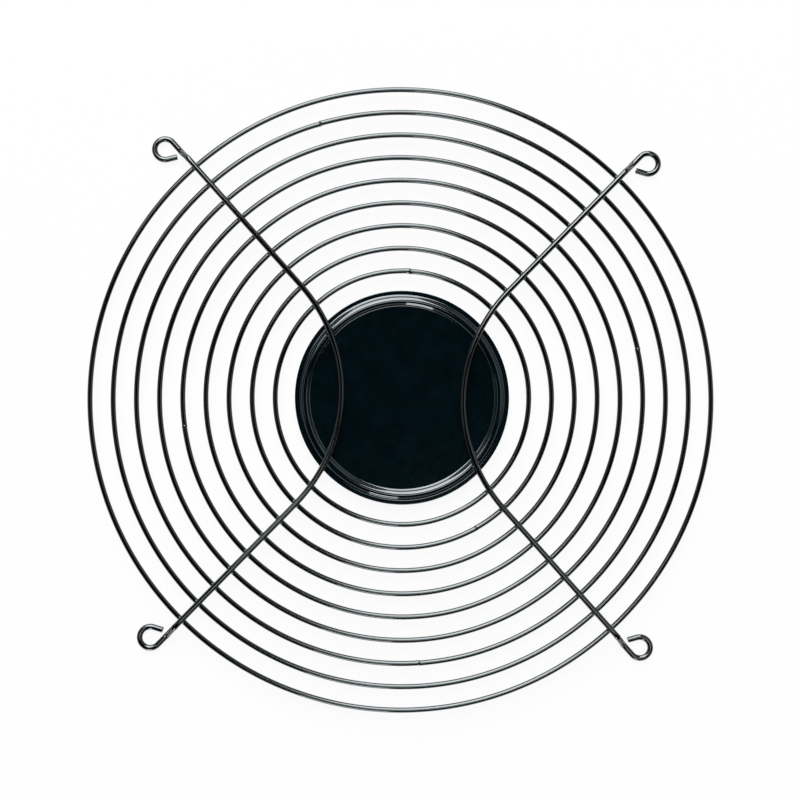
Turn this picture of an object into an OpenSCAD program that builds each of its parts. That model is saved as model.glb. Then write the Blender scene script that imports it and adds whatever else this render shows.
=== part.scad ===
// Round wire finger guard for a 254 mm axial fan.
//
// Nine closed ring wires and a stamped hub disc hang under two long spoke
// wires. Each spoke bows round the hub, runs out along two diagonals, steps
// down just past the outermost ring and ends in two open eyes for screws.
// Every crossing is a resistance weld, where the two pieces have pressed each
// other flat and meet on a small level seat.
//
// Millimetres. The origin is the centre of the four eyes, in the plane that
// their undersides rest on. +Z points away from the fan, and +X and +Y run
// along the sides of the square that the eyes stand on.

/* [Mounting eyes] */
// Side of the square that the centres of the four eyes stand on
eye_pitch = 187.3; // [182:0.1:200]
// Clear diameter inside an eye
eye_bore_d = 6; // [5:0.1:8]
// Angle that the wire turns through round an eye
eye_wrap = 243; // [225:1:255]
// Straight tail that closes the eye's nose
eye_tail = 3.8; // [1:0.1:4.5]

/* [Wire] */
// Diameter of the ring and spoke wires
wire_d = 2; // [1.6:0.1:2.2]
// Extra diameter where the wire is bent, and swells a hair as it is pressed
bend_swell = 0.02; // [0.02:0.01:0.06]
// How much closer a weld draws a ring's axis to a spoke's, half of it from each wire
weld_sink = 0.3; // [0.1:0.05:0.4]

/* [Rings] */
// Number of rings
ring_count = 9; // [5:1:9]
// Centreline radius of the innermost ring
ring_first_r = 48.6; // [47:0.1:49]
// Distance from one ring to the next
ring_pitch = 8.8; // [8:0.1:8.8]
// Extra diameter of the upset where a ring's ends are butt welded
butt_upset = 0.24; // [0.1:0.02:0.4]
// Length of that upset along the ring
butt_length = 1.4; // [0.8:0.1:2.4]

/* [Spokes] */
// Distance from the hub's centre to a spoke where it passes closest
spoke_waist = 23.3; // [21:0.1:24]
// Direction of the straight arms, in degrees from the X axis
arm_angle = 47; // [46:0.25:48]

/* [Step down to the eyes] */
// Height that the wire drops between the spoke and its eyes
step_rise = 5.2; // [4:0.1:6]
// Slope of the step, in degrees
step_slope = 50; // [45:1:60]
// Centreline radius of the step's two bends
step_bend_r = 2; // [1.5:0.1:2.5]
// Gap along the arm from the outermost ring to the first bend
step_gap = 1.9; // [1:0.1:2.5]

/* [Hub disc] */
// Outer diameter of the disc
disc_d = 82.2; // [81:0.1:84]
// Thickness of its sheet
sheet_t = 0.8; // [0.6:0.1:1]
// Diameter of the raised bead, measured along its crest
bead_d = 74.6; // [73:0.1:75.5]
// Height of the bead above the flat of the disc
bead_h = 1.2; // [0.8:0.1:1.4]
// Radius of the bead's crest, on the face that the spokes are welded to
bead_crest_r = 1.7; // [1.4:0.1:2]
// Radius of the bead's two roots, on the same face
bead_root_r = 1.1; // [0.8:0.1:1.4]
// How much closer a weld draws the disc to a spoke, half of it from each piece
bead_sink = 0.15; // [0.05:0.05:0.2]
// Radius on the corners of the disc's sheared edge
edge_r = 0.15; // [0.1:0.05:0.25]

/* [Hidden] */
// Angles of the butt welds that stand proud: ring number, degrees from +X
BUTT_WELDS = [[1, 88], [2, 301], [5, 189], [6, 13], [7, 275], [8, 108]];

wire_fn = 32;
bend_fn = 96;
ring_fn = 192;

// Length that a straight run reaches into the bend at its end
lap = 0.1;

// Heights of the wires' centrelines
bend_d = wire_d + bend_swell;
eye_z = bend_d / 2;
spoke_z = eye_z + step_rise;
ring_z = spoke_z - wire_d + weld_sink;

// Height of the seats at the welds, and how far a seat reaches each way along a wire
ring_seat_z = spoke_z - wire_d / 2 + weld_sink / 2;
bead_seat_z = spoke_z - wire_d / 2 + bead_sink / 2;
ring_seat_reach = 0.85;
bead_seat_reach = 1.1;

// An arm's centreline runs along a straight line that touches the eye's loop
loop_r = (eye_bore_d + bend_d) / 2;
arm_end = [eye_pitch / 2 - loop_r * sin(arm_angle), eye_pitch / 2 + loop_r * cos(arm_angle)];
arm_end_s = arm_end[0] * cos(arm_angle) + arm_end[1] * sin(arm_angle);

// The bow is one arc that touches both arms' lines and passes the hub at the waist
axis_cross_x = arm_end[0] - arm_end[1] / tan(arm_angle);
corner_y = (spoke_waist - axis_cross_x) * tan(arm_angle);
bow_half = 90 - arm_angle;
bow_r = corner_y / tan(bow_half / 2);
bow_centre_x = spoke_waist + bow_r;
bow_end_s = spoke_waist * cos(arm_angle) + corner_y * sin(arm_angle) + corner_y;
arm_offset = axis_cross_x * sin(arm_angle);

// The step, measured along the arm
step_line = (step_rise - 2 * step_bend_r * (1 - cos(step_slope))) / sin(step_slope);
step_run = 2 * step_bend_r * sin(step_slope) + step_line * cos(step_slope);
step_s = ring_r(ring_count) + wire_d / 2 + step_gap;

// The bead, seen in section from its crest's axis
bead_top_z = spoke_z - wire_d / 2 + bead_sink;
disc_top_z = bead_top_z - bead_h;
bead_reach = sqrt(pow(bead_crest_r + bead_root_r, 2) - pow(bead_crest_r + bead_root_r - bead_h, 2));
bead_turn = asin(bead_reach / (bead_crest_r + bead_root_r));

function ring_r(i) = ring_first_r + (i - 1) * ring_pitch;

// Is a circle about the hub crossed by a bow, and not by the straight arms?
function on_bow(r) = r < bow_end_s;

// Where the upper right arm's line crosses such a circle, as a distance along the arm
function arm_cross_s(r) = sqrt(r * r - arm_offset * arm_offset);

// Where the upper right bow crosses such a circle
function bow_cross(r) =
    let (x = (r * r - bow_r * bow_r + bow_centre_x * bow_centre_x) / (2 * bow_centre_x))
    [x, sqrt(r * r - x * x)];

// Angles of the crossing, about the hub's centre and about the bow's
function cross_angle(r) =
    on_bow(r) ? atan2(bow_cross(r)[1], bow_cross(r)[0]) : arm_angle - asin(arm_offset / r);

function bow_angle(r) = atan2(bow_cross(r)[1], bow_cross(r)[0] - bow_centre_x);

function ring_name(i) = str("ring_wire_", i);

// Points along an arc, from one angle to the other
function arc_points(centre, r, from, to, steps) =
    [for (k = [0 : steps]) let (a = from + (to - from) * k / steps) centre + r * [cos(a), sin(a)]];

// One face of the sheet, from the disc's middle out to the bead's outer root.
// With drop at 0 it is the top face, and at sheet_t the face below it.
function face_points(drop) =
    let (
        crest_r = bead_crest_r - drop,
        root_r = bead_root_r + drop,
        crest = [bead_d / 2, bead_top_z - bead_crest_r],
        root_z = disc_top_z + bead_root_r
    )
    concat(
        [[0, disc_top_z - drop]],
        arc_points([bead_d / 2 - bead_reach, root_z], root_r, -90, bead_turn - 90, 6),
        arc_points(crest, crest_r, 90 + bead_turn, 90 - bead_turn, 12),
        arc_points([bead_d / 2 + bead_reach, root_z], root_r, -90 - bead_turn, -90, 6)
    );

function reversed(list) = [for (k = [len(list) - 1 : -1 : 0]) list[k]];

// A straight run from the origin along +X, which laps into the bend before it
// and, unless end_lap is 0, into the one after it
module straight_wire(length, end_lap = lap) {
    translate([-lap, 0, 0]) rotate([0, 90, 0])
        cylinder(d = wire_d, h = lap + length + end_lap, $fn = wire_fn);
}

// A bend about the Z axis, from +X anticlockwise
module bent_wire(r, angle) {
    rotate_extrude(angle = angle, $fn = bend_fn)
        translate([r, 0]) circle(d = bend_d, $fn = wire_fn);
}

// An open eye: the wire arrives at the origin along +X and turns to the right
module eye() {
    translate([0, -loop_r, 0]) {
        rotate([0, 0, 90 - eye_wrap]) bent_wire(loop_r, eye_wrap);
        rotate([0, 0, -eye_wrap]) translate([0, loop_r, 0]) straight_wire(eye_tail, 0);
    }
}

// The step: the wire starts high above the origin and comes down as it runs along +X
module step_down() {
    rotate([90, 0, 0]) {
        translate([0, step_rise - step_bend_r, 0])
            rotate([0, 0, 90 - step_slope]) bent_wire(step_bend_r, step_slope);
        translate([step_bend_r * sin(step_slope), step_rise - step_bend_r * (1 - cos(step_slope)), 0])
            rotate([0, 0, -step_slope]) straight_wire(step_line);
        translate([step_run, step_bend_r, 0])
            rotate([0, 0, 270 - step_slope]) bent_wire(step_bend_r, step_slope);
    }
}

// Moves what is drawn from the arm's end back along -X onto the upper right arm
module on_arm() {
    translate([arm_end[0], arm_end[1], eye_z]) rotate([0, 0, arm_angle]) children();
}

module arm() {
    translate([bow_end_s - arm_end_s, 0, step_rise]) straight_wire(step_s - bow_end_s);
    translate([step_s - arm_end_s, 0, 0]) step_down();
    translate([step_s + step_run - arm_end_s, 0, 0]) straight_wire(arm_end_s - step_s - step_run);
    eye();
}

module bow() {
    translate([bow_centre_x, 0, spoke_z])
        rotate([0, 0, 180 - bow_half]) bent_wire(bow_r, 2 * bow_half);
}

// A curved block about the Z axis that clears a seat of the given reach at a radius
module seat_sector(r, angle, reach, low_z) {
    turn = reach / r * 180 / PI;
    rotate([0, 0, angle - turn])
        rotate_extrude(angle = 2 * turn, $fn = ring_fn)
            translate([r - wire_d, low_z]) square([2 * wire_d, wire_d]);
}

// What the four welds press out of the top of a ring or a bead
module seats_above(r, reach, seat_z) {
    for (x = [0, 1], y = [0, 1])
        mirror([x, 0, 0]) mirror([0, y, 0]) seat_sector(r, cross_angle(r), reach, seat_z);
}

// What one weld presses out of the underside of the upper right bow
module bow_seat(r, reach, seat_z) {
    translate([bow_centre_x, 0, 0]) seat_sector(bow_r, bow_angle(r), reach, seat_z - wire_d);
}

// What one weld presses out of the underside of the upper right arm
module arm_seat(r) {
    on_arm()
        translate([arm_cross_s(r) - arm_end_s - ring_seat_reach, -wire_d, ring_seat_z - eye_z - wire_d])
            cube([2 * ring_seat_reach, 2 * wire_d, wire_d]);
}

module seats_under_half_spoke() {
    bow_seat(bead_d / 2, bead_seat_reach, bead_seat_z);
    for (i = [1 : ring_count])
        if (on_bow(ring_r(i))) bow_seat(ring_r(i), ring_seat_reach, ring_seat_z);
        else arm_seat(ring_r(i));
}

module right_spoke() {
    difference() {
        union() {
            bow();
            on_arm() arm();
            mirror([0, 1, 0]) on_arm() arm();
        }
        seats_under_half_spoke();
        mirror([0, 1, 0]) seats_under_half_spoke();
    }
}

module butt_weld(i) {
    for (weld = BUTT_WELDS)
        if (weld[0] == i)
            let (turn = butt_length / ring_r(i) * 180 / PI)
                rotate([0, 0, weld[1] - turn / 2])
                    rotate_extrude(angle = turn, $fn = ring_fn)
                        translate([ring_r(i), 0]) circle(d = wire_d + butt_upset, $fn = wire_fn);
}

module ring_wire(i) {
    color([0.05, 0.07, 0.08])
        difference() {
            translate([0, 0, ring_z]) {
                rotate_extrude($fn = ring_fn)
                    translate([ring_r(i), 0]) circle(d = wire_d, $fn = wire_fn);
                butt_weld(i);
            }
            seats_above(ring_r(i), ring_seat_reach, ring_seat_z);
        }
}

module spoke_wire_right() {
    color([0.06, 0.09, 0.1]) right_spoke();
}

module spoke_wire_left() {
    color([0.06, 0.09, 0.1]) mirror([1, 0, 0]) right_spoke();
}

module hub_disc() {
    rim_bottom_z = disc_top_z - sheet_t;
    rim = concat(
        arc_points([disc_d / 2 - edge_r, disc_top_z - edge_r], edge_r, 90, 0, 3),
        arc_points([disc_d / 2 - edge_r, rim_bottom_z + edge_r], edge_r, 0, -90, 3)
    );
    color([0.03, 0.1, 0.11])
        difference() {
            rotate_extrude($fn = ring_fn)
                polygon(concat(face_points(0), rim, reversed(face_points(sheet_t))));
            seats_above(bead_d / 2, bead_seat_reach, bead_seat_z);
        }
}

for (i = [1 : ring_count])
    ring_wire(i);
spoke_wire_left();
spoke_wire_right();
hub_disc();
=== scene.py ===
"""Looks of the round wire fan guard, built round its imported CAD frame.

The ring wires and the two spokes are swept again as fine tubes with their
butt welds, press marks and cut ends, the hub disc is turned again with its
rounded edge, and each resistance weld gets the collar of metal that it
squeezes out. Everything is in metres, in the frame's own axes.
"""

import math
import random

import bpy
from mathutils import Euler, Matrix, Quaternion, Vector, noise


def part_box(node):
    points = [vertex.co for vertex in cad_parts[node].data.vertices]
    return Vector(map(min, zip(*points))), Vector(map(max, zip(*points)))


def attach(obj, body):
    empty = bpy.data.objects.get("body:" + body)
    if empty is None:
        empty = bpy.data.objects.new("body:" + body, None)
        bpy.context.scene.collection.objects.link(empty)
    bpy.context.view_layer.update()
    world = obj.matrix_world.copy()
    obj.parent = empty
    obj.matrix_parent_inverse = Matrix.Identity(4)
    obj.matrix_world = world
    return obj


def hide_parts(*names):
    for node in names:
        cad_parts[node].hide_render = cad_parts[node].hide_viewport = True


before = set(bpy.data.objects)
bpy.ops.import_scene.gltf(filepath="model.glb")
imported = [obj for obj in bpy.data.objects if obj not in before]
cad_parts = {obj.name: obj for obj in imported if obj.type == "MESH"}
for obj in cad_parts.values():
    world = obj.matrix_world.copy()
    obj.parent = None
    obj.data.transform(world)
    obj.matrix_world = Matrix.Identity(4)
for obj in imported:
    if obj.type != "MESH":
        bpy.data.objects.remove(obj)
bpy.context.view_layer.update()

MM = 0.001

# ---------------------------------------------------------------- dimensions

# The wire, and the hair that it swells by where it is bent
WIRE_R = 1.0 * MM
BEND_R = 1.01 * MM
# The spokes' wire is a gauge stouter. It stands on the same undersides, so its axis is lifted
SPOKE_R = 1.1 * MM
SPOKE_LIFT = SPOKE_R - WIRE_R

# The open eyes and the straight arms that lead to them
EYE_BORE_R = 3.0 * MM
EYE_WRAP = math.radians(243)
EYE_TAIL = 3.8 * MM
ARM_ANGLE = math.radians(47)

# The step down from the spokes' level to the eyes'
STEP_SLOPE = math.radians(50)
STEP_BEND_R = 2.0 * MM
STEP_GAP = 1.9 * MM

# The hub disc's sheet, its bead and its edge
SHEET_T = 0.8 * MM
BEAD_R = 37.3 * MM
BEAD_H = 1.2 * MM
BEAD_CREST_R = 1.7 * MM
BEAD_ROOT_R = 1.1 * MM
EDGE_R = 0.15 * MM
# Distance from a bend at which the flats' shading is held level
FLAT_HOLD = 0.06 * MM

# Rings whose ends are joined so cleanly that their boxes show their true radius
CLEAN_RINGS = (3, 9)

# Butt welds that stand proud: ring, degrees from +X, ridge height, sideways mismatch
BUTT_WELDS = (
    (1, 88, 0.13 * MM, 0.07 * MM),
    (2, 301, 0.08 * MM, -0.04 * MM),
    (5, 189, 0.08 * MM, 0.04 * MM),
    (6, 13, 0.13 * MM, 0.05 * MM),
    (7, 275, 0.09 * MM, 0.05 * MM),
    (8, 108, 0.15 * MM, -0.08 * MM),
)
# Half lengths of the ridge and of the lower shoulder that it stands on, and the shoulder's share
BUTT_RIDGE = 0.22 * MM
BUTT_SHOULDER = 0.75 * MM
SHOULDER_SHARE = 0.3

# ------------------------------------------------- places read from the frame


def half_width(node):
    low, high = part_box(node)
    return (high.x - low.x) / 2


ring_count = sum(name.startswith("ring_wire_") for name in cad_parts)
first_clean, last_clean = CLEAN_RINGS
clean_r = half_width(f"ring_wire_{first_clean}") - WIRE_R
ring_pitch = (half_width(f"ring_wire_{last_clean}") - WIRE_R - clean_r) / (last_clean - first_clean)


def ring_r(i):
    return clean_r + (i - first_clean) * ring_pitch


ring_low, ring_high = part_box(f"ring_wire_{first_clean}")
ring_z = (ring_low.z + ring_high.z) / 2

spoke_low, spoke_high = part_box("spoke_wire_right")
spoke_z = spoke_high.z - BEND_R
eye_z = spoke_low.z + BEND_R
waist = spoke_low.x + BEND_R
loop_r = EYE_BORE_R + BEND_R
eye_y = spoke_high.y - loop_r - BEND_R
eye_x = spoke_high.x - loop_r - BEND_R

disc_r = half_width("hub_disc")
bead_top_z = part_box("hub_disc")[1].z

# ------------------------------------------------------------- spoke geometry

# Distances between the stations of the bow, an arm, the run to the eye, its loop and its tail
BOW_STEP, ARM_STEP, RUN_STEP = 1.5 * MM, 2.5 * MM, 0.8 * MM
LOOP_STEP, TAIL_STEP = 0.3 * MM, 0.6 * MM
# Stations round each bend of the step down, less one
BEND_STEPS = 10

along_arm = Vector((math.cos(ARM_ANGLE), math.sin(ARM_ANGLE), 0))
beside_arm = Vector((-math.sin(ARM_ANGLE), math.cos(ARM_ANGLE), 0))
arm_end = Vector((eye_x, eye_y, 0)) + loop_r * beside_arm
arm_end_s = arm_end.dot(along_arm)

# The bow is one arc that touches both arms' lines and passes the hub at the waist
axis_cross_x = arm_end.x - arm_end.y / math.tan(ARM_ANGLE)
corner_y = (waist - axis_cross_x) * math.tan(ARM_ANGLE)
bow_half = math.pi / 2 - ARM_ANGLE
bow_r = corner_y / math.tan(bow_half / 2)
bow_centre = Vector((waist + bow_r, 0, 0))
bow_end_s = waist * along_arm.x + corner_y * along_arm.y + corner_y
arm_offset = arm_end.dot(beside_arm)

step_rise = spoke_z - eye_z
step_line = (step_rise - 2 * STEP_BEND_R * (1 - math.cos(STEP_SLOPE))) / math.sin(STEP_SLOPE)
step_s = ring_r(ring_count) + WIRE_R + STEP_GAP


def arc(centre, radius, start, end, step):
    """Points in plan along an arc about centre, from one angle to another."""
    count = max(2, math.ceil(abs(end - start) * radius / step))
    angles = [start + (end - start) * k / count for k in range(count + 1)]
    return [centre + radius * Vector((math.cos(a), math.sin(a), 0)) for a in angles]


def line(start, end, step):
    """Points along a straight line, no further apart than a step."""
    count = max(1, math.ceil((end - start).length / step))
    return [start.lerp(end, k / count) for k in range(count + 1)]


def on_arm(s, z):
    """The point of the upper right arm at a distance s along it, at a height z."""
    return s * along_arm + arm_offset * beside_arm + Vector((0, 0, z))


def step_profile():
    """The step in side view: (distance along the arm, drop, press) from its top bend down.

    Press is 1 in the middle of a bend, where the tool pinched the wire."""
    profile = []
    for k in range(BEND_STEPS + 1):
        a = STEP_SLOPE * k / BEND_STEPS
        press = math.sin(math.pi * k / BEND_STEPS)
        profile.append((STEP_BEND_R * math.sin(a), STEP_BEND_R * (1 - math.cos(a)), press))
    s, drop, _ = profile[-1]
    s += step_line * math.cos(STEP_SLOPE)
    drop += step_line * math.sin(STEP_SLOPE)
    for k in range(BEND_STEPS + 1):
        a = STEP_SLOPE * (1 - k / BEND_STEPS)
        press = math.sin(math.pi * k / BEND_STEPS)
        further = s + STEP_BEND_R * (math.sin(STEP_SLOPE) - math.sin(a))
        lower = drop + STEP_BEND_R * (math.cos(a) - math.cos(STEP_SLOPE))
        profile.append((further, lower, press))
    return profile


def half_spoke():
    """Stations (point, press) from the right spoke's waist to the upper right eye's tip."""
    flat = Vector((0, 0, spoke_z))
    bow = [p + flat for p in arc(bow_centre, bow_r, math.pi, math.pi - bow_half, BOW_STEP)]
    arm = line(on_arm(bow_end_s, spoke_z), on_arm(step_s, spoke_z), ARM_STEP)
    stations = [(p, 0) for p in bow[:-1] + arm[:-1]]
    profile = step_profile()
    stations += [(on_arm(step_s + s, spoke_z - drop), press) for s, drop, press in profile]
    run = line(on_arm(step_s + profile[-1][0], eye_z), on_arm(arm_end_s, eye_z), RUN_STEP)
    start = ARM_ANGLE + math.pi / 2
    eye_centre = Vector((eye_x, eye_y, eye_z))
    loop = arc(eye_centre, loop_r, start, start - EYE_WRAP, LOOP_STEP)
    heading = start - EYE_WRAP - math.pi / 2
    tip = loop[-1] + EYE_TAIL * Vector((math.cos(heading), math.sin(heading), 0))
    tail = line(loop[-1], tip, TAIL_STEP)
    return stations + [(p, 0) for p in run[1:-1] + loop[:-1] + tail]


def mirrored(stations, x, y):
    """The stations turned over to the side of each axis that x and y, 1 or -1, name."""
    return [(Vector((x * p.x, y * p.y, p.z)), press) for p, press in stations]


# -------------------------------------------------------------- mesh building

RING_SIDES = 20
SPOKE_SIDES = 24
DISC_SEGMENTS = 240
# Distance between a ring's stations
RING_STEP = 1.5 * MM
# Closer stations each side of a butt weld: how many, how far they reach, and how much further
# off the ring's own stations start
BUTT_STATIONS = 24
BUTT_REACH = 2.2 * MM
BUTT_MARGIN = 1.05
# Steps along the disc's section: its middle, a root of the bead, the bead's crest, a corner
FLAT_STEPS, ROOT_STEPS, CREST_STEPS, EDGE_STEPS = 12, 10, 20, 4

# How far a ring strays from round and from level
RING_STRAY = 0.07 * MM
RING_WAVE = 0.04 * MM
# How far a spoke strays sideways, and over what length
SPOKE_STRAY = 0.05 * MM
SPOKE_STRAY_LENGTH = 25 * MM
# How far the disc's flats undulate, and over what length
DISC_WAVE = 0.02 * MM
DISC_WAVE_LENGTH = 22 * MM

# What a pinch at a step's bend does to the wire: it widens and flattens by these shares
PRESS_WIDENS = 0.07
PRESS_FLATTENS = 0.12
# The rounded rim of a cut end: (distance from the end, share of the wire's radius)
END_RIM = ((0.0, 0.86), (0.07 * MM, 0.97), (0.16 * MM, 1.0))


def new_piece(name, verts, faces, material, replaces=()):
    """A smooth mesh piece that rides on the part's one body."""
    mesh = bpy.data.meshes.new(name)
    mesh.from_pydata([tuple(v) for v in verts], [], faces)
    mesh.validate()
    mesh.shade_smooth()
    mesh.materials.append(material)
    piece = bpy.data.objects.new(name, mesh)
    bpy.context.scene.collection.objects.link(piece)
    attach(piece, "root")
    if replaces:
        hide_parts(*replaces)
    return piece


def tube_faces(rows, sides, closed):
    """Quads between the rows of a tube, each row a loop of that many vertices."""
    faces = []
    for i in range(rows if closed else rows - 1):
        a, b = i * sides, (i + 1) % rows * sides
        for j in range(sides):
            k = (j + 1) % sides
            faces.append((a + j, a + k, b + k, b + j))
    return faces


def wander(seed, s, size, length):
    """A slow random offset along a wire: up to about size, changing over length."""
    return size * noise.noise(Vector((seed * 7.31, s / length, 0.5)))


def past(a, middle):
    """How far an angle is past another, the short way round."""
    return (a - middle + math.pi) % (2 * math.pi) - math.pi


def fade(s, length):
    """A bell that falls from 1 at s = 0 over a length either way."""
    return math.exp(-((s / length) ** 2))


def ring_stations(r, welds):
    """Angles of a ring's stations, which stand closer together at its butt weld."""
    count = round(2 * math.pi * r / RING_STEP)
    angles = [2 * math.pi * k / count for k in range(count)]
    for _, at, _, _ in welds:
        middle, span = math.radians(at), BUTT_REACH / r
        fine = [middle + span * (k / BUTT_STATIONS - 1) for k in range(2 * BUTT_STATIONS + 1)]
        angles = [a for a in angles if abs(past(a, middle)) > span * BUTT_MARGIN]
        angles = sorted(angles + [a % (2 * math.pi) for a in fine])
    return angles


def ring_mesh(i, seed):
    """One ring: a torus that strays a hair from round, with a ridge at its butt weld."""
    r = ring_r(i)
    welds = [w for w in BUTT_WELDS if w[0] == i]
    angles = ring_stations(r, welds)
    verts = []
    for a in angles:
        outward = Vector((math.cos(a), math.sin(a), 0))
        loop_seed = Vector((3 * math.cos(a), 3 * math.sin(a), seed))
        radius = r + RING_STRAY * noise.noise(loop_seed)
        z = ring_z + RING_WAVE * noise.noise(loop_seed + Vector((9, 0, 0)))
        ridge, slip = 0.0, 0.0
        for _, at, height, mismatch in welds:
            s = past(a, math.radians(at)) * r
            ridge += height * fade(s, BUTT_RIDGE) + SHOULDER_SHARE * height * fade(s, BUTT_SHOULDER)
            slip += mismatch * math.tanh(s / BUTT_RIDGE) * fade(s, 4 * BUTT_SHOULDER)
        for j in range(RING_SIDES):
            b = 2 * math.pi * j / RING_SIDES
            rough = 1 + 0.5 * noise.noise(Vector((seed, 2.5 * math.cos(b), 2.5 * math.sin(b))))
            wire = WIRE_R + ridge * rough
            out, up = radius + slip + wire * math.cos(b), z + wire * math.sin(b)
            verts.append(out * outward + Vector((0, 0, up)))
    return verts, tube_faces(len(angles), RING_SIDES, True)


def spoke_mesh(stations, seed):
    """A tube along the stations, pinched where it was pressed and cut off square at its ends."""
    points = [p for p, _ in stations]
    ends = (0, len(points) - 1)
    lift = Vector((0, 0, SPOKE_LIFT))
    run = 0.0
    verts = []
    for k, (p, press) in enumerate(stations):
        before, after = points[max(k - 1, 0)], points[min(k + 1, ends[1])]
        tangent = (after - before).normalized()
        side = tangent.cross(Vector((0, 0, 1))).normalized()
        up = side.cross(tangent)
        run += (p - before).length
        drift = side * wander(seed, run, SPOKE_STRAY, SPOKE_STRAY_LENGTH)
        rows = [(0.0, 1.0)]
        if k == 0:
            rows = END_RIM
        if k == ends[1]:
            rows = [(-shift, scale) for shift, scale in reversed(END_RIM)]
        for shift, scale in rows:
            for j in range(SPOKE_SIDES):
                b = 2 * math.pi * j / SPOKE_SIDES
                wide = SPOKE_R * scale * (1 + PRESS_WIDENS * press)
                tall = SPOKE_R * scale * (1 - PRESS_FLATTENS * press)
                around = wide * math.cos(b) * side + tall * math.sin(b) * up
                verts.append(p + lift + drift + shift * tangent + around)
    rows = len(verts) // SPOKE_SIDES
    faces = tube_faces(rows, SPOKE_SIDES, False)
    last = len(verts) - SPOKE_SIDES
    faces.append(tuple(reversed(range(SPOKE_SIDES))))
    faces.append(tuple(range(last, len(verts))))
    return verts, faces


def disc_profile():
    """Half of the disc's section as (radius, height), from the axis out and back below."""
    crest = (BEAD_R, bead_top_z - BEAD_CREST_R)
    top_z = bead_top_z - BEAD_H
    bends_r = BEAD_CREST_R + BEAD_ROOT_R
    reach = math.sqrt(bends_r**2 - (bends_r - BEAD_H) ** 2)
    turn = math.asin(reach / bends_r)
    edge_x = disc_r - EDGE_R

    def bend(centre, radius, start, end, steps):
        angles = [start + (end - start) * k / steps for k in range(steps + 1)]
        return [(centre[0] + radius * math.cos(a), centre[1] + radius * math.sin(a)) for a in angles]

    def face(drop):
        up, down = math.pi / 2, -math.pi / 2
        root = BEAD_ROOT_R + drop
        inner, outer = BEAD_R - reach, BEAD_R + reach
        points = [(inner * k / FLAT_STEPS, top_z - drop) for k in range(1, FLAT_STEPS)]
        points += [(inner - FLAT_HOLD, top_z - drop)]
        points += bend((inner, top_z + BEAD_ROOT_R), root, down, down + turn, ROOT_STEPS)
        points += bend(crest, BEAD_CREST_R - drop, up + turn, up - turn, CREST_STEPS)[1:-1]
        points += bend((outer, top_z + BEAD_ROOT_R), root, down - turn, down, ROOT_STEPS)
        points += [(outer + FLAT_HOLD, top_z - drop), (edge_x - FLAT_HOLD, top_z - drop)]
        return points

    edge = bend((edge_x, top_z - EDGE_R), EDGE_R, math.pi / 2, 0, EDGE_STEPS)
    edge += bend((edge_x, top_z - SHEET_T + EDGE_R), EDGE_R, 0, -math.pi / 2, EDGE_STEPS)
    return face(0) + edge + face(SHEET_T)[::-1], top_z


def disc_mesh():
    """The disc turned from its section. Its flats undulate by hundredths of a millimetre."""
    profile, top_z = disc_profile()
    verts = []
    for k in range(DISC_SEGMENTS):
        a = 2 * math.pi * k / DISC_SEGMENTS
        for r, z in profile:
            flat = Vector((r * math.cos(a), r * math.sin(a), 0))
            wave = DISC_WAVE * noise.noise(flat / DISC_WAVE_LENGTH)
            verts.append(flat + Vector((0, 0, z + wave)))
    rows = len(profile)
    seams = [(k * rows, (k + 1) % DISC_SEGMENTS * rows) for k in range(DISC_SEGMENTS)]
    faces = []
    for a, b in seams:
        faces += [(a + j, a + j + 1, b + j + 1, b + j) for j in range(rows - 1)]
    top, bottom = len(verts), len(verts) + 1
    verts += [Vector((0, 0, top_z)), Vector((0, 0, top_z - SHEET_T))]
    for a, b in seams:
        faces += [(top, a, b), (bottom, b + rows - 1, a + rows - 1)]
    return verts, faces


# ----------------------------------------------------------- welded crossings

# How softly the metal at a weld blends, in millimetres, from the tightest to the fullest
COLLAR_BLEND = (0.6, 0.95)
# How far a collar reaches out from its weld
COLLAR_REACH = 1.9 * MM
# Its foot lies this far below the spoke's underside, and its head this far below spoke_z
COLLAR_FOOT = 0.6 * MM
COLLAR_HEAD = 0.15 * MM
COLLAR_SIDES = 40
COLLAR_LEVELS = 12
# Its surface is sought from this close to the weld, in these steps
COLLAR_START = 0.1 * MM
COLLAR_STEP = 0.02 * MM
# It is lumpy by this share, and sinks this far into the wires that it blends
COLLAR_LUMPS = 0.05
COLLAR_SINK = 0.015 * MM


def smooth_min(a, b, k):
    """The lesser of two distances, with the corner between them rounded over k."""
    h = max(k - abs(a - b), 0.0) / k
    return min(a, b) - h * h * k / 4


def bow_cross(r):
    """Where the upper right bow crosses a circle about the hub."""
    x = (r * r - bow_r * bow_r + bow_centre.x * bow_centre.x) / (2 * bow_centre.x)
    return Vector((x, math.sqrt(r * r - x * x), 0))


def crossing(r):
    """Where the upper right quarter of a spoke crosses a circle: (point, spoke's direction)."""
    if r < bow_end_s:
        p = bow_cross(r)
        out = p - bow_centre
        return p, Vector((out.y, -out.x, 0)).normalized()
    s = math.sqrt(r * r - arm_offset * arm_offset)
    return on_arm(s, 0), along_arm.copy()


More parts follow.
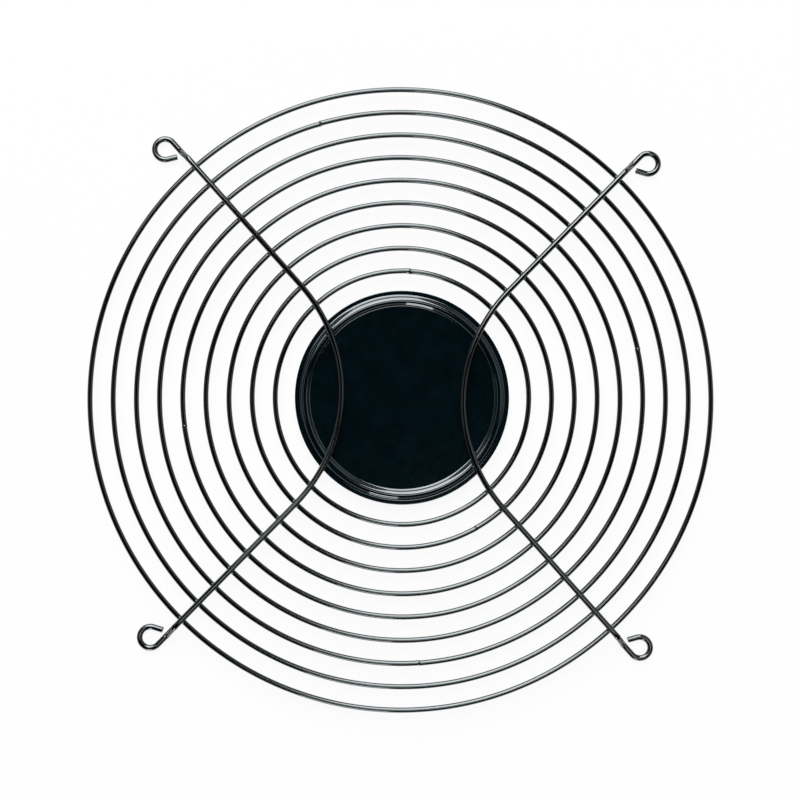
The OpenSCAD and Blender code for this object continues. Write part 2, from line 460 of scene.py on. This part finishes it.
def weld_collar(p, spoke_along, lower_r, lower_z, rng):
    """The collar of metal squeezed out round one weld, as vertices and faces.

    Its surface is where the spoke and the round wire or bead below would blend."""
    below_along = Vector((-p.y, p.x, 0)).normalized()
    blend = rng.uniform(*COLLAR_BLEND) * MM
    seed = rng.uniform(0, 100)
    bottom_z, top_z = spoke_z - WIRE_R - COLLAR_FOOT, spoke_z - COLLAR_HEAD
    axis_z = spoke_z + SPOKE_LIFT

    def outside(q, along, z, radius):
        """How far a point is outside the round wire that runs along through the weld at z."""
        flat = Vector((q.x, q.y, 0)) - p
        return math.hypot(flat.dot(Vector((-along.y, along.x, 0))), q.z - z) - radius

    def gap(q):
        over = outside(q, spoke_along, axis_z, SPOKE_R)
        under = outside(q, below_along, lower_z, lower_r)
        return smooth_min(over, under, blend)

    verts = []
    for n in range(COLLAR_LEVELS):
        z = bottom_z + (top_z - bottom_z) * n / (COLLAR_LEVELS - 1)
        for j in range(COLLAR_SIDES):
            a = 2 * math.pi * j / COLLAR_SIDES
            ray = Vector((math.cos(a), math.sin(a), 0))
            rho = COLLAR_START
            while rho < COLLAR_REACH and gap(p + rho * ray + Vector((0, 0, z))) < 0:
                rho += COLLAR_STEP
            lump = 1 + COLLAR_LUMPS * noise.noise(Vector((seed + 2 * ray.x, 2 * ray.y, z / MM)))
            verts.append(p + min(rho * lump - COLLAR_SINK, COLLAR_REACH) * ray + Vector((0, 0, z)))
    faces = [tuple(reversed(f)) for f in tube_faces(COLLAR_LEVELS, COLLAR_SIDES, False)]
    last = len(verts) - COLLAR_SIDES
    faces.append(tuple(range(COLLAR_SIDES)))
    faces.append(tuple(reversed(range(last, len(verts)))))
    return verts, faces


def all_welds(rng):
    """The collars of every weld. Each spoke crosses each ring, and the bead, twice."""
    verts, faces = [], []
    circles = [(ring_r(i), WIRE_R, ring_z) for i in range(1, ring_count + 1)]
    circles.append((BEAD_R, BEAD_CREST_R, bead_top_z - BEAD_CREST_R))
    for r, lower_r, lower_z in circles:
        p, along = crossing(r)
        for x in (1, -1):
            for y in (1, -1):
                there = Vector((x * p.x, y * p.y, 0))
                heading = Vector((x * along.x, y * along.y, 0))
                more, quads = weld_collar(there, heading, lower_r, lower_z, rng)
                faces += [tuple(v + len(verts) for v in f) for f in quads]
                verts += more
    return verts, faces


# ------------------------------------------------------------------ materials

# The film's shine is a touch cool
COAT_SHEEN = (0.90, 0.975, 1.0)
# Sizes of the clouds in its tone and its gloss, and how far the gloss strays either way
TONE_CLOUD = 6 * MM
GLOSS_CLOUD = 2 * MM
GLOSS_SPREAD = 0.25
# The part of a cloud's range that is spread over the whole change
CLOUD_LOW, CLOUD_HIGH = 0.3, 0.7


def coat(name, colour, ior, roughness, grain_size, grain_depth, mottle):
    """Black electrocoat: a dark glossy film, a little uneven in tone, gloss and level."""
    material = bpy.data.materials.new(name)
    material.use_nodes = True
    nodes, links = material.node_tree.nodes, material.node_tree.links
    shader = nodes["Principled BSDF"]
    shader.inputs["IOR"].default_value = ior
    shader.inputs["Specular Tint"].default_value = (*COAT_SHEEN, 1)
    place = nodes.new("ShaderNodeTexCoord")

    def cloud(size, detail):
        texture = nodes.new("ShaderNodeTexNoise")
        texture.inputs["Scale"].default_value = 1 / size
        texture.inputs["Detail"].default_value = detail
        links.new(place.outputs["Object"], texture.inputs["Vector"])
        return texture.outputs["Fac"]

    tone = nodes.new("ShaderNodeValToRGB")
    dark, pale = tone.color_ramp.elements
    dark.position, pale.position = CLOUD_LOW, CLOUD_HIGH
    dark.color = (*[c * (1 - mottle) for c in colour], 1)
    pale.color = (*[c * (1 + mottle) for c in colour], 1)
    links.new(cloud(TONE_CLOUD, 4), tone.inputs["Fac"])
    links.new(tone.outputs["Color"], shader.inputs["Base Color"])

    gloss = nodes.new("ShaderNodeMapRange")
    gloss.inputs["From Min"].default_value = CLOUD_LOW
    gloss.inputs["From Max"].default_value = CLOUD_HIGH
    gloss.inputs["To Min"].default_value = (1 - GLOSS_SPREAD) * roughness
    gloss.inputs["To Max"].default_value = (1 + GLOSS_SPREAD) * roughness
    links.new(cloud(GLOSS_CLOUD, 3), gloss.inputs["Value"])
    links.new(gloss.outputs["Result"], shader.inputs["Roughness"])

    grain = nodes.new("ShaderNodeBump")
    grain.inputs["Distance"].default_value = grain_depth
    grain.inputs["Strength"].default_value = 1
    links.new(cloud(grain_size, 2), grain.inputs["Height"])
    links.new(grain.outputs["Normal"], shader.inputs["Normal"])
    return material


wire_coat = coat(
    "coated_wire",
    colour=(0.0003, 0.0010, 0.0015),
    ior=1.93,
    roughness=0.08,
    grain_size=0.6 * MM,
    grain_depth=0.0008 * MM,
    mottle=0.25,
)
sheet_coat = coat(
    "coated_sheet",
    colour=(0.0003, 0.0038, 0.0056),
    ior=1.88,
    roughness=0.065,
    grain_size=0.35 * MM,
    grain_depth=0.0012 * MM,
    mottle=0.3,
)

# --------------------------------------------------------------------- pieces

for i in range(1, ring_count + 1):
    verts, faces = ring_mesh(i, seed=i * 11.7)
    new_piece(f"ring_{i}_formed", verts, faces, wire_coat, [f"ring_wire_{i}"])

upper_right = half_spoke()
for name, x in (("right", 1), ("left", -1)):
    lower = mirrored(upper_right, x, -1)[:0:-1]
    verts, faces = spoke_mesh(lower + mirrored(upper_right, x, 1), seed=3 + x)
    new_piece(f"spoke_{name}_formed", verts, faces, wire_coat, [f"spoke_wire_{name}"])

verts, faces = disc_mesh()
new_piece("hub_disc_stamped", verts, faces, sheet_coat, ["hub_disc"])

verts, faces = all_welds(random.Random(5))
new_piece("weld_collars", verts, faces, wire_coat)

# ---------------------------------------------------------------------- floor

FLOOR_R = 30
FLOOR_SIDES = 48
BOARD_COLOUR = (0.88, 0.88, 0.88, 1)
# Share of white in what the camera and the reflections see. The rest is the board, with its shadow
FLOOR_GLOW = 0.92

floor_mesh = bpy.data.meshes.new("floor")
turns = [math.radians(360 / FLOOR_SIDES * k) for k in range(FLOOR_SIDES)]
rim = [(FLOOR_R * math.cos(a), FLOOR_R * math.sin(a), 0) for a in turns]
floor_mesh.from_pydata(rim, [], [tuple(range(len(rim)))])
floor = bpy.data.objects.new("floor", floor_mesh)
bpy.context.scene.collection.objects.link(floor)


def floor_material():
    """Pale board. Seen directly or in a reflection it is white, and it keeps a faint shadow."""
    material = bpy.data.materials.new("pale_floor")
    material.use_nodes = True
    nodes, links = material.node_tree.nodes, material.node_tree.links
    nodes.remove(nodes["Principled BSDF"])
    board = nodes.new("ShaderNodeBsdfDiffuse")
    board.inputs["Color"].default_value = BOARD_COLOUR
    glow = nodes.new("ShaderNodeEmission")
    path = nodes.new("ShaderNodeLightPath")
    seen = nodes.new("ShaderNodeMath")
    seen.operation = "MAXIMUM"
    links.new(path.outputs["Is Camera Ray"], seen.inputs[0])
    links.new(path.outputs["Is Glossy Ray"], seen.inputs[1])
    any_ray = nodes.new("ShaderNodeMath")
    any_ray.operation = "MAXIMUM"
    links.new(seen.outputs[0], any_ray.inputs[0])
    links.new(path.outputs["Is Transmission Ray"], any_ray.inputs[1])
    share = nodes.new("ShaderNodeMath")
    share.operation = "MULTIPLY"
    share.inputs[1].default_value = FLOOR_GLOW
    links.new(any_ray.outputs[0], share.inputs[0])
    mix = nodes.new("ShaderNodeMixShader")
    links.new(share.outputs[0], mix.inputs["Fac"])
    links.new(board.outputs[0], mix.inputs[1])
    links.new(glow.outputs[0], mix.inputs[2])
    links.new(mix.outputs[0], nodes["Material Output"].inputs["Surface"])
    return material


floor_mesh.materials.append(floor_material())

# -------------------------------------------------------------- lamps and room

LAMP_DISTANCE = 3.0
# Heights on the unit sky at which the room's walls turn white, and turn dim
WHITE_SKY, DIM_SKY = 0.03, 0.2
DIM_ROOM = (0.004, 0.004, 0.004, 1)


def softbox(name, azimuth, polar, wide, tall, radiance, spin=0):
    """An even lamp panel that faces the hub, placed and sized by angles seen from the hub.

    Azimuth is from +X and polar from straight up. Spin turns the panel in its own
    plane. All angles are in degrees."""
    width = 2 * LAMP_DISTANCE * math.tan(math.radians(wide / 2))
    height = 2 * LAMP_DISTANCE * math.tan(math.radians(tall / 2))
    lamp = bpy.data.lights.new(name, "AREA")
    lamp.shape = "RECTANGLE"
    lamp.size, lamp.size_y = width, height
    lamp.energy = radiance * math.pi * width * height
    holder = bpy.data.objects.new(name, lamp)
    a, p = math.radians(azimuth), math.radians(polar)
    away = Vector((math.sin(p) * math.cos(a), math.sin(p) * math.sin(a), math.cos(p)))
    holder.location = LAMP_DISTANCE * away
    holder.rotation_mode = "QUATERNION"
    spun = Quaternion((0, 0, 1), math.radians(spin))
    holder.rotation_quaternion = away.to_track_quat("Z", "Y") @ spun
    bpy.context.scene.collection.objects.link(holder)


softbox("key_panel", azimuth=99, polar=52, wide=39, tall=53, radiance=6.2)
softbox("key_upper_panel", azimuth=102, polar=21.7, wide=16, tall=14.5, radiance=6.2, spin=34)
softbox("key_side_panel", azimuth=137, polar=37, wide=11, tall=28, radiance=2.2)
softbox("roof_panel", azimuth=296, polar=12, wide=16, tall=15, radiance=3.2)
softbox("front_strip", azimuth=262, polar=78, wide=17, tall=24, radiance=5.6)
softbox("right_wall_glow", azimuth=30, polar=47, wide=52, tall=24, radiance=0.7)
softbox("left_wall_glow", azimuth=170, polar=46, wide=30, tall=14, radiance=0.5)


def room_world():
    """A dim room whose walls pale towards the horizon."""
    world = bpy.data.worlds.new("studio_room")
    world.use_nodes = True
    nodes, links = world.node_tree.nodes, world.node_tree.links
    place = nodes.new("ShaderNodeTexCoord")
    split = nodes.new("ShaderNodeSeparateXYZ")
    ramp = nodes.new("ShaderNodeValToRGB")
    white, dim = ramp.color_ramp.elements
    white.position, white.color = WHITE_SKY, (1, 1, 1, 1)
    dim.position, dim.color = DIM_SKY, DIM_ROOM
    links.new(place.outputs["Generated"], split.inputs["Vector"])
    links.new(split.outputs["Z"], ramp.inputs["Fac"])
    links.new(ramp.outputs["Color"], nodes["Background"].inputs["Color"])
    bpy.context.scene.world = world


room_world()

# --------------------------------------------------------------------- camera

# It looks straight down and a little askew, from this far over the guard's plane
CAMERA_DISTANCE = 0.7
CAMERA_LENS = 81.7
CAMERA_TILT = Euler((math.radians(-2.91), math.radians(1.93), math.radians(-1.36)), "XYZ")
CAMERA_AIM = Vector((0.70, 0.81, 0)) * MM

lens = bpy.data.cameras.new("camera")
lens.lens = CAMERA_LENS
lens.clip_start, lens.clip_end = 0.05, 100
camera = bpy.data.objects.new("camera", lens)
bpy.context.scene.collection.objects.link(camera)
turn = (
    Matrix.Rotation(CAMERA_TILT.x, 3, "X")
    @ Matrix.Rotation(CAMERA_TILT.y, 3, "Y")
    @ Matrix.Rotation(CAMERA_TILT.z, 3, "Z")
).transposed()
stand = turn @ (Vector((0, 0, CAMERA_DISTANCE)) - CAMERA_AIM)
camera.matrix_world = Matrix.Translation(stand) @ turn.to_4x4()
bpy.context.scene.camera = camera
bpy.context.scene.view_settings.view_transform = "Standard"
